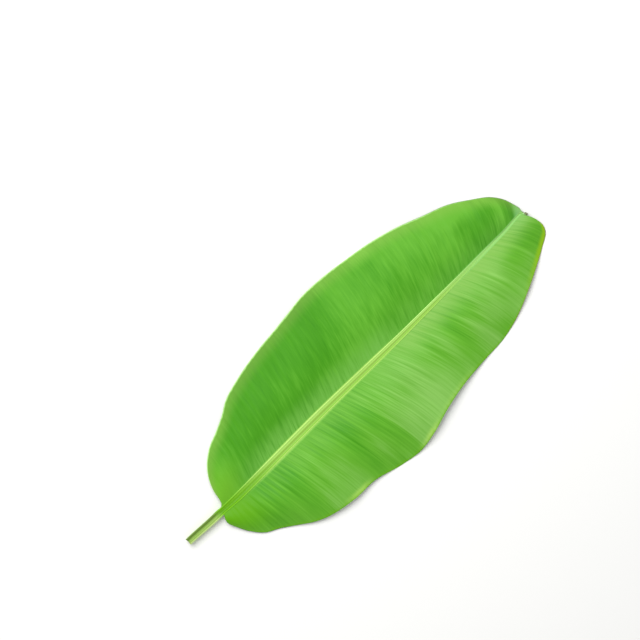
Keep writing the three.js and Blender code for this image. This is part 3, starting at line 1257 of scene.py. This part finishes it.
@dataclass(frozen=True)
class Palette:
    """Every material on the leaf, each made once."""

    upper: dict[Half, bpy.types.Material]
    rims: dict[Half, bpy.types.Material]
    under: bpy.types.Material
    rib: bpy.types.Material
    veins: bpy.types.Material
    cut: bpy.types.Material
    walls: bpy.types.Material
    withered: bpy.types.Material

    @classmethod
    def make(cls) -> "Palette":
        """Make all the materials.

        Returns:
            The palette.
        """
        return cls(
            upper={Half.LEFT: LEFT_FACE.make(), Half.RIGHT: RIGHT_FACE.make()},
            rims={Half.LEFT: LEFT_RIM.make(), Half.RIGHT: RIGHT_RIM.make()},
            under=UnderFinish().make(), rib=RibFinish().make(), veins=UNDER_VEINS.make(),
            cut=CUT_FLESH.make(), walls=CHANNEL_WALLS.make(), withered=WITHERED.make())


@dataclass
class HalfBlade:
    """One half of the blade, with its rim and the raised veins of its underside."""

    form: LeafForm
    half: Half
    palette: Palette
    rows_per_station: int = 4
    columns: int = 41
    pleat_height: float = 0.55
    furrow_height: float = 1.9
    furrow_pace: tuple[float, float] = (0.62, 1.3)
    pleat_unevenness: float = 0.45
    pleat_turns: tuple[float, float] = (1.3, 0.31)
    pleat_run_in: float = 0.12
    pleat_at_margin: float = 0.4
    pleat_fade: float = 3.0
    swell_height: float = 1.6
    swell_lengths: tuple[float, float] = (118.0, 71.0)
    swell_shifts: dict[Half, float] = field(
        default_factory=lambda: {Half.LEFT: 0.4, Half.RIGHT: 2.6})
    seeds: dict[Half, float] = field(default_factory=lambda: {Half.LEFT: 6.0, Half.RIGHT: 4.0})
    furrow_seed: float = 9.0
    ripple_height: float = 0.3
    ripple_pace: tuple[float, float] = (1.7, 3.0)
    ripple_level: float = 0.62
    calm_end: float = 0.1
    end_crowding: float = 0.6
    lift_off: float = 0.1
    margin_inset: float = 0.6
    tuck_in: float = 0.6
    thickness: float = 0.5
    thickness_at_midrib: float = 1.2
    thickness_fade: float = 10.0
    rim_radius: float = 0.35
    rim_sides: int = 6
    vein_radius: float = 0.6
    vein_radius_at_end: float = 0.12
    vein_end: float = 0.94
    vein_taper: float = 0.6
    least_vein: float = 0.35
    vein_sink: float = 0.6
    vein_sides: int = 5

    @property
    def side(self) -> str:
        """The half's name as used in names of pieces."""
        return self.half.name.lower()

    def sheet(self) -> bpy.types.Object:
        """Make the plain arched sheet that the pleats are raised from.

        Returns:
            An object whose mesh holds the numbers and maps that trees and materials read.
        """
        form = self.form
        station = np.arange((form.stations - 1) * self.rows_per_station + 1) / self.rows_per_station
        places = form.places(station)
        root = form.guide("root", places)[:, 0]
        sign = self.half.value
        end = form.guide(self.side, places)
        ahead = np.gradient(end[:, :2], axis=0)
        inward = np.column_stack([ahead[:, 1], -ahead[:, 0]]) * sign
        end[:, :2] += self.margin_inset * inward / np.linalg.norm(inward, axis=1)[:, None]
        start_y = form.rib(root, "bend") + sign * (form.rib(root, "width") / 2)
        start_z = form.rib(root, "lift") + form.rib(root, "depth")
        run_x, run_y = end[:, 0] - root, end[:, 1] - start_y
        length = np.hypot(run_x, run_y)
        share = self.column_shares()
        grid = np.broadcast_to(share[None, :], (len(root), len(share)))
        x = root[:, None] + run_x[:, None] * (1 - (1 - grid) ** form.vein_sweep)
        tuck = self.tuck_in * np.minimum(form.rib(root, "width") / form.stout_width, 1)
        y = start_y[:, None] + run_y[:, None] * grid - sign * tuck[:, None] * (grid == 0)
        margin = np.maximum(end[:, 2], 0)
        z = form.arch(grid, start_z[:, None], length[:, None], margin[:, None]) + self.lift_off
        points = form.to_frame(np.stack([x, y, z], axis=-1))
        by_vein = {
            "station": station, "reach": np.minimum(length / form.broad_vein, 1), "root": root,
            "length": length, "vein": station % 1 == 0}
        numbers = {name: np.broadcast_to(values[:, None], grid.shape)
                   for name, values in by_vein.items()}
        numbers |= {"share": grid, "edge": grid == 1}
        maps = {
            "VeinMap": np.stack([numbers["root"], grid * length[:, None]], axis=-1) / METRE,
            "LeafMap": np.stack([numbers["root"] / form.blade_length, grid], axis=-1),
            "SpotMap": np.stack([x / form.blade_length, grid], axis=-1),
        }
        return grid_object(f"{self.side}_sheet", points, numbers, maps, flip=sign < 0)

    def column_shares(self) -> np.ndarray:
        """Shares of the vein for the sheet's columns, closer together at both ends."""
        even = np.linspace(0, 1, self.columns)
        return even - self.end_crowding * np.sin(2 * np.pi * even) / (2 * np.pi)

    def relief(self) -> Shape:
        """Write the tree that raises pleats, swells and fine ripples.

        Returns:
            The tree.
        """
        tree = Shape(f"{self.side}_relief")
        millimetre = 1 / METRE
        (height, uneven, quick, slow, run_in, at_margin, swell_height, long, short, shift,
         ripple_height, furrow_height, pace, drift, seed) = (
             tree.size(name, value) for name, value in {
                 "Pleat height": self.pleat_height, "Pleat unevenness": self.pleat_unevenness,
                 "Pleat quick turn": self.pleat_turns[0], "Pleat slow turn": self.pleat_turns[1],
                 "Pleat run-in": self.pleat_run_in, "Pleat at margin": self.pleat_at_margin,
                 "Swell height": self.swell_height, "Long swell": self.swell_lengths[0],
                 "Short swell": self.swell_lengths[1], "Swell shift": self.swell_shifts[self.half],
                 "Ripple height": self.ripple_height, "Furrow height": self.furrow_height,
                 "Furrows a station": self.furrow_pace[0], "Furrows a vein": self.furrow_pace[1],
                 "Seed": self.seeds[self.half]}.items())
        station, share, root = (tree.stored(name) for name in ("station", "share", "root"))
        ridge = (1.0 - tree.math("COSINE", station * math.pi)) * 0.5
        turns = tree.math("SINE", station * quick) * tree.math("SINE", station * slow)
        fade = 1.0 + (at_margin - 1.0) * share**self.pleat_fade
        pleat = height * ridge * (1.0 + uneven * turns) * tree.ramp(share, 0.0, run_in) * fade
        waves = (tree.math("SINE", root * (2 * math.pi) / long + shift)
                 + tree.math("SINE", root * (2 * math.pi) / short + shift))
        swell = swell_height * waves * tree.math("SINE", share * math.pi) * 0.5
        across, along = self.ripple_pace
        ripple = tree.noise(station * across, share * along, seed, detail=3.0, roughness=0.6)
        ripple = (ripple - self.ripple_level) * ripple_height
        furrow = tree.noise(station * pace, share * drift, seed + self.furrow_seed)
        furrow = (furrow - MIDDLE) * furrow_height
        calm = tree.ramp(share, 0.0, self.calm_end) * tree.ramp(share, 1.0, 1.0 - self.calm_end)
        raised = (pleat + swell + (ripple + furrow) * calm) * tree.stored("reach") * millimetre
        tree.finish(tree.step("GeometryNodeSetPosition", tree.incoming,
                              Offset=tree.vector(0.0, 0.0, raised)))
        return tree

    def shell(self) -> Shape:
        """Write the tree that gives the sheet its thickness and its two faces.

        Returns:
            The tree.
        """
        tree = Shape(f"{self.side}_shell")
        thin = tree.size("Thickness", self.thickness)
        thick = tree.size("Thickness at midrib", self.thickness_at_midrib)
        fade = tree.size("Thickness fade", self.thickness_fade)
        upper = tree.size("Upper face", self.palette.upper[self.half])
        under = tree.size("Underside", self.palette.under)
        near = tree.math("EXPONENT", tree.stored("share") * tree.stored("length") / fade * -1.0)
        rise = (thin + (thick - thin) * near) * (1 / METRE)
        raised = tree.node("GeometryNodeExtrudeMesh", mode="FACES")
        tree.feed(raised.inputs["Mesh"], tree.incoming)
        tree.feed(raised.inputs["Offset"], tree.vector(0.0, 0.0, 1.0))
        tree.feed(raised.inputs["Offset Scale"], rise)
        raised.inputs["Individual"].default_value = False
        walls = tree.paint(raised.outputs["Mesh"], under)
        top = tree.paint(walls, upper, raised.outputs["Top"])
        bottom = tree.paint(tree.step("GeometryNodeFlipFaces", tree.incoming), under)
        joined = tree.node("GeometryNodeJoinGeometry")
        for part in (top, bottom):
            tree.tree.links.new(part, joined.inputs[0])
        tree.finish(tree.step("GeometryNodeMergeByDistance", joined.outputs[0], Distance=WELD))
        return tree

    def rim(self) -> Shape:
        """Write the tree that lays a thin rounded bead along the margin.

        Returns:
            The tree.
        """
        tree = Shape(f"{self.side}_rim")
        radius = tree.size("Rim radius", self.rim_radius / METRE)
        finish = tree.size("Rim finish", self.palette.rims[self.half])
        line = tree.step("GeometryNodeMeshToCurve", tree.incoming,
                         Selection=tree.math("GREATER_THAN", tree.stored("edge"), MARKED))
        middle = tree.vector(0.0, 0.0, self.thickness / 2 / METRE)
        tree.finish(tree.paint(self.tube(tree, line, radius, middle, self.rim_sides), finish))
        return tree

    def ribs(self) -> Shape:
        """Write the tree that sweeps a tapering cord along each side vein.

        Returns:
            The tree.
        """
        tree = Shape(f"{self.side}_veins")
        thick = tree.size("Vein radius", self.vein_radius / METRE)
        thin = tree.size("Vein radius at end", self.vein_radius_at_end / METRE)
        reach = tree.size("Vein end", self.vein_end)
        finish = tree.size("Vein finish", self.palette.veins)
        share = tree.stored("share")
        chosen = (tree.math("GREATER_THAN", tree.stored("vein"), MARKED)
                  * tree.math("LESS_THAN", share, reach))
        line = tree.step("GeometryNodeMeshToCurve", tree.incoming, Selection=chosen)
        taper = tree.math("MINIMUM", share / reach, 1.0) ** self.vein_taper
        full = self.least_vein + tree.stored("reach") * (1.0 - self.least_vein)
        radius = (thick + (thin - thick) * taper) * full
        sink = tree.vector(0.0, 0.0, self.thickness * self.vein_sink / METRE - radius)
        tree.finish(tree.paint(self.tube(tree, line, radius, sink, self.vein_sides), finish))
        return tree

    @staticmethod
    def tube(tree: Shape, line: object, radius: Field, offset: object,
             sides: int) -> bpy.types.NodeSocket:
        """Sweep a round section along a line.

        Args:
            tree: The tree to write in.
            line: The line.
            radius: The section's radius, in metres.
            offset: How far the line is moved first.
            sides: How many sides the section has.

        Returns:
            The tube's mesh.
        """
        moved = tree.step("GeometryNodeSetPosition", line, Offset=offset)
        circle = tree.node("GeometryNodeCurvePrimitiveCircle")
        circle.inputs["Resolution"].default_value = sides
        circle.inputs["Radius"].default_value = 1.0
        return tree.step("GeometryNodeCurveToMesh", moved, Profile_Curve=circle.outputs[0],
                         Scale=radius, Fill_Caps=True)

    def build(self) -> None:
        """Make the half's blade, rim and veins, and tell the frame."""
        for make, name in ((self.shell, "blade"), (self.rim, "rim"), (self.ribs, "veins")):
            owner = self.sheet()
            self.relief().apply_to(owner)
            make().apply_to(owner)
            keep(baked(owner, f"{self.side}_{name}"), replaces=name == "blade")


def quads_over(rows: int, columns: int, closed: bool) -> np.ndarray:
    """Number the corners of the quads over a grid of points.

    Args:
        rows: How many rows the grid has.
        columns: How many columns it has.
        closed: Whether the last column is joined to the first.

    Returns:
        Four point numbers for each quad.
    """
    index = np.arange(rows * columns).reshape(rows, columns)
    if closed:
        index = np.hstack([index, index[:, :1]])
    sides = [index[:-1, :-1], index[1:, :-1], index[1:, 1:], index[:-1, 1:]]
    return np.stack(sides, axis=-1).reshape(-1, 4)


def grid_object(name: str, points: np.ndarray, numbers: dict[str, np.ndarray],
                maps: dict[str, np.ndarray], flip: bool) -> bpy.types.Object:
    """Make a mesh of quads from a grid of points.

    Args:
        name: The object's name.
        points: Positions, rows by columns by 3.
        numbers: A value for each point, by name, kept on the mesh.
        maps: Pairs of values for each point, by name, kept as UV maps.
        flip: Whether the faces turn the other way.

    Returns:
        The object.
    """
    quads = quads_over(*points.shape[:2], closed=False)
    if flip:
        quads = quads[:, ::-1]
    mesh = bpy.data.meshes.new(name)
    mesh.from_pydata(points.reshape(-1, 3).tolist(), [], quads.tolist())
    for key, values in numbers.items():
        mesh.attributes.new(key, "FLOAT", "POINT").data.foreach_set(
            "value", np.ascontiguousarray(values, np.float32).ravel())
    for key, values in maps.items():
        pairs = values.reshape(-1, 2)[quads.ravel()]
        mesh.uv_layers.new(name=key).data.foreach_set("uv", pairs.astype(np.float32).ravel())
    return shown(mesh, name)


def bar_mesh(name: str, loops: np.ndarray) -> bpy.types.Mesh:
    """Make a closed bar from a row of loops: quads round it, and one face at each end.

    Args:
        name: The mesh's name.
        loops: Positions, loops by points by 3.

    Returns:
        The mesh, with the end faces last.
    """
    count, around = loops.shape[:2]
    first, last = np.arange(around), np.arange(around) + (count - 1) * around
    faces = quads_over(count, around, closed=True).tolist() + [first.tolist(), last[::-1].tolist()]
    mesh = bpy.data.meshes.new(name)
    mesh.from_pydata(loops.reshape(-1, 3).tolist(), [], faces)
    return mesh


def turn_outward(mesh: bpy.types.Mesh) -> None:
    """Turn the faces of a closed mesh outward.

    Args:
        mesh: The mesh, changed in place.
    """
    shape = bmesh.new()
    shape.from_mesh(mesh)
    bmesh.ops.recalc_face_normals(shape, faces=shape.faces)
    shape.to_mesh(mesh)
    shape.free()


@dataclass
class Midrib:
    """The stalk and midrib, one grooved bar from the cut end to the tip."""

    form: LeafForm
    palette: Palette
    step: float = 3.0
    cut_inset: float = 0.4
    rounds: int = 4
    wing_out: float = 1.9
    wing_up: float = 2.1
    wing_thickness: float = 0.8
    wing_fade: tuple[float, float] = (-16.0, 4.0)
    wing_shoulder: tuple[float, float] = (1.1, 1.0)
    wing_edge: tuple[float, float] = (0.75, 0.35)
    wing_under: tuple[float, float] = (0.6, 0.6)
    side_heights: tuple[float, float, float] = (0.9, 0.4, -0.3)
    lip_inset: float = 0.15
    bead_across: float = 0.4
    bead_rise: float = 0.7
    bead_drop: float = 0.2
    wall: dict[Half, float] = field(default_factory=lambda: {Half.LEFT: 0.2, Half.RIGHT: 0.27})
    wall_depth: float = 0.7
    floor_across: float = -0.06
    keel: tuple[tuple[float, float], ...] = ((0.47, 0.6), (0.33, 0.2), (0.14, 0.0))

    def section(self, x: float) -> np.ndarray:
        """Give the outline of the bar at one place.

        Args:
            x: The place along the leaf.

        Returns:
            Points round the section, from under the keel up the right side and over.
        """
        at = np.array([x])
        sizes = {name: float(self.form.rib(at, name)[0])
                 for name in ("bend", "width", "depth", "channel", "lift")}
        width, depth, channel = sizes["width"], sizes["depth"], sizes["channel"]
        wing = 1 - float(smoothstep(at, *self.wing_fade)[0])
        stout = min(width / self.form.stout_width, 1)
        edge = depth + self.form.sheet_at_midrib * stout
        bead = edge + self.bead_rise * min(1, channel)
        out = width / 2 + self.wing_out * wing
        top = depth + self.wing_up * wing
        in_by, up_by = self.wing_shoulder
        upper, lower, under = (height * stout for height in self.side_heights)
        outline = [(self.floor_across * width, edge - channel)]
        for half in (Half.LEFT, Half.RIGHT):
            side = [
                (self.wall[half] * width, edge - self.wall_depth * channel),
                (self.bead_across * width, bead),
                (mix(width / 2, out - in_by, wing),
                 mix(bead - self.bead_drop * stout, top + up_by, wing)),
                (out - self.lip_inset * self.wing_thickness * wing,
                 top + mix(upper, self.wing_edge[0], wing)),
                (out, top + mix(lower, self.wing_edge[1], wing)),
                (out - self.wing_under[0] * wing, mix(depth, top, self.wing_under[1]) + under),
                *((across * width, share * depth) for across, share in self.keel),
            ]
            side = [(half.value * across, height) for across, height in side]
            outline = outline + side if half is Half.LEFT else side[::-1] + outline
        loop = np.array([(0.0, 0.0)] + outline)
        loop[:, 0] += sizes["bend"]
        loop[:, 1] += sizes["lift"]
        return loop

    def build(self) -> None:
        """Make the bar's mesh and tell the frame."""
        form = self.form
        start = -form.stalk_length + self.cut_inset
        xs = np.arange(start, form.blade_length, self.step)
        loops = []
        for x in xs:
            loop = self.section(float(x))
            places = np.linspace(0, 1, self.rounds * len(loop), endpoint=False)
            rounded = curve_through(np.vstack([loop, loop[:1]]), places)
            rounded[:, 1] = np.maximum(rounded[:, 1], float(form.rib(np.array([x]), "lift")[0]))
            loops.append(np.column_stack([np.full(len(rounded), x), rounded]))
        bar = np.array(loops)
        mesh = bar_mesh("midrib", form.to_frame(bar))
        rows, columns = bar.shape[:2]
        quads = quads_over(rows, columns, closed=True)
        turn = np.linspace(0, 1, columns + 1)
        turns = np.stack([turn[:-1], turn[:-1], turn[1:], turn[1:]], axis=-1)
        turns = np.tile(turns, (rows - 1, 1)).ravel()
        lengths = (bar[:, :, 0] / METRE).ravel()[quads.ravel()]
        uv = np.zeros((len(mesh.loops), 2), np.float32)
        uv[:len(lengths)] = np.column_stack([lengths, turns])
        mesh.uv_layers.new(name="RibMap").data.foreach_set("uv", uv.ravel())
        mesh.materials.append(self.palette.rib)
        mesh.materials.append(self.palette.cut)
        for polygon in mesh.polygons:
            polygon.use_smooth = len(polygon.vertices) == 4
            polygon.material_index = 0 if polygon.use_smooth else 1
        turn_outward(mesh)
        keep(shown(mesh, "midrib"), replaces=True)


@dataclass
class AirChannels:
    """The walls of the air channels that show at the cut end of the stalk."""

    form: LeafForm
    midrib: Midrib
    palette: Palette
    spacing: float = 1.25
    wall_radius: float = 0.56
    wall_section: float = 0.11
    wall_sides: int = 12
    section_sides: int = 6
    most_a_square_metre: float = 4.0e6
    inset: float = 0.82
    seed: int = 4

    def face(self) -> bpy.types.Object:
        """Make the flat face that the channels are scattered over.

        Returns:
            An object with one face, a little smaller than the cut end.
        """
        x = -self.form.stalk_length + self.midrib.cut_inset
        loop = self.midrib.section(x)
        middle = loop.mean(axis=0)
        small = middle + (loop - middle) * self.inset
        points = self.form.to_frame(np.column_stack([np.full(len(small), x), small]))
        mesh = bpy.data.meshes.new("cut_face")
        mesh.from_pydata(points.tolist(), [], [list(range(len(points)))])
        return shown(mesh, "cut_face")

    def build(self) -> None:
        """Scatter the channel walls over the cut end and tell the frame."""
        tree = Shape("air_channels")
        spacing = tree.size("Spacing", self.spacing / METRE)
        radius = tree.size("Wall radius", self.wall_radius / METRE)
        section = tree.size("Wall section", self.wall_section / METRE)
        seed = tree.size("Seed", self.seed)
        finish = tree.size("Wall finish", self.palette.walls)
        spread = tree.node("GeometryNodeDistributePointsOnFaces", distribute_method="POISSON")
        tree.feed(spread.inputs["Mesh"], tree.incoming)
        tree.feed(spread.inputs["Distance Min"], spacing)
        spread.inputs["Density Max"].default_value = self.most_a_square_metre
        tree.feed(spread.inputs["Seed"], seed)
        ring, tube = (tree.node("GeometryNodeCurvePrimitiveCircle") for _ in range(2))
        for circle, sides, size in ((ring, self.wall_sides, radius),
                                    (tube, self.section_sides, section)):
            circle.inputs["Resolution"].default_value = sides
            tree.feed(circle.inputs["Radius"], size)
        wall = tree.step("GeometryNodeCurveToMesh", ring.outputs[0], Profile_Curve=tube.outputs[0])
        copies = tree.step("GeometryNodeInstanceOnPoints", spread.outputs["Points"], Instance=wall,
                           Rotation=spread.outputs["Rotation"])
        tree.finish(tree.paint(copies, finish))
        owner = self.face()
        tree.apply_to(owner)
        keep(baked(owner, "air_channels"))


@dataclass
class WitheredTip:
    """The dried curl in which the midrib ends."""

    form: LeafForm
    palette: Palette
    route: tuple[tuple[float, float, float], ...] = (
        (795.8, 0.9, 3.8), (798.0, -0.3, 5.0), (799.9, -1.8, 6.2), (801.3, -3.5, 7.3),
        (802.6, -5.2, 8.2), (804.0, -5.6, 8.7))
    radii: tuple[float, ...] = (0.8, 1.8, 2.5, 3.0, 2.7, 1.0)
    steps: int = 40
    sides: int = 10
    creases: int = 3
    crease_depth: float = 0.28
    crease_turns: float = 12.0
    flatness: float = 0.7

    def build(self) -> None:
        """Make the curl and tell the frame."""
        places = np.linspace(0, 1, self.steps)
        line = curve_through(self.route, places)
        radius = np.interp(places, np.linspace(0, 1, len(self.radii)), self.radii)
        ahead = np.gradient(line, axis=0)
        ahead /= np.linalg.norm(ahead, axis=1)[:, None]
        across = np.cross(ahead, [0.0, 0.0, 1.0])
        across /= np.linalg.norm(across, axis=1)[:, None]
        up = np.cross(across, ahead)
        angle = np.linspace(0, 2 * np.pi, self.sides, endpoint=False)
        twist = places[:, None] * self.crease_turns
        crease = (1 + np.cos(self.creases * angle[None, :] + twist)) / 2
        spread = radius[:, None] * (1 - self.crease_depth * crease)
        ring = (np.cos(angle)[None, :, None] * across[:, None, :]
                + self.flatness * np.sin(angle)[None, :, None] * up[:, None, :])
        points = line[:, None, :] + spread[:, :, None] * ring
        mesh = bar_mesh("withered_tip", self.form.to_frame(points))
        mesh.materials.append(self.palette.withered)
        for polygon in mesh.polygons:
            polygon.use_smooth = True
        turn_outward(mesh)
        keep(shown(mesh, "withered_tip"))


@dataclass
class Studio:
    """The floor, the lights and the camera."""

    form: LeafForm
    view_middle: tuple[float, float, float] = (382.0, 128.65, 12.0)
    view_width: float = 1.2129
    camera_height: float = 4.0
    sensor: float = 36.0
    roll_degrees: float = 44.808
    floor_size: float = 14.0
    floor_drop: float = 0.0003
    floor_colour: Colour = linear(244, 244, 242)
    floor_roughness: float = 0.85
    floor_specular: float = 0.2
    sky_strength: float = 0.62
    key_power: float = 62.0
    key_size: float = 2.0
    key_place: tuple[float, float, float] = (0.15, 1.45, 2.3)

    def camera(self) -> None:
        """Look straight down, with the tip towards the picture's upper right corner."""
        data = bpy.data.cameras.new("photo_camera")
        data.sensor_width = self.sensor
        data.lens = self.sensor * self.camera_height / self.view_width
        made = bpy.data.objects.new("photo_camera", data)
        middle = self.form.to_frame(np.array(self.view_middle))
        made.location = Vector(middle) + Vector((0, 0, self.camera_height))
        made.rotation_euler = (0, 0, -math.radians(self.roll_degrees))
        bpy.context.scene.collection.objects.link(made)
        bpy.context.scene.camera = made

    def floor(self) -> None:
        """Lay a plain pale floor."""
        half = self.floor_size / 2
        outline = ((-half, -half), (half, -half), (half, half), (-half, half))
        mesh = bpy.data.meshes.new("floor")
        mesh.from_pydata([(x, y, -self.floor_drop) for x, y in outline], [], [(0, 1, 2, 3)])
        mesh.materials.append(Finish("floor").dress(
            self.floor_colour, self.floor_roughness, Specular_IOR_Level=self.floor_specular))
        shown(mesh, "floor")

    def lights(self) -> None:
        """Hang one soft lamp on the left half's side, in an even pale surrounding."""
        world = bpy.data.worlds.new("studio")
        bpy.context.scene.world = world
        world.use_nodes = True
        background = world.node_tree.nodes["Background"]
        background.inputs["Color"].default_value = (1.0, 1.0, 1.0, 1.0)
        background.inputs["Strength"].default_value = self.sky_strength
        data = bpy.data.lights.new("key", "AREA")
        data.shape = "SQUARE"
        data.size = self.key_size
        data.energy = self.key_power
        lamp = bpy.data.objects.new("key", data)
        lamp.location = self.key_place
        lamp.rotation_euler = (-lamp.location).to_track_quat("-Z", "Y").to_euler()
        bpy.context.scene.collection.objects.link(lamp)

    def build(self) -> None:
        """Make all of it, with colours shown as they are."""
        self.camera()
        self.floor()
        self.lights()
        bpy.context.scene.view_settings.view_transform = "Standard"


def main() -> None:
    logging.basicConfig(level=logging.INFO, format="%(name)s: %(message)s")
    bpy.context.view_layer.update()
    form = LeafForm()
    Studio(form).build()
    palette = Palette.make()
    for half in Half:
        HalfBlade(form, half, palette).build()
    midrib = Midrib(form, palette)
    midrib.build()
    AirChannels(form, midrib, palette).build()
    WitheredTip(form, palette).build()


if __name__ == "__main__":
    main()
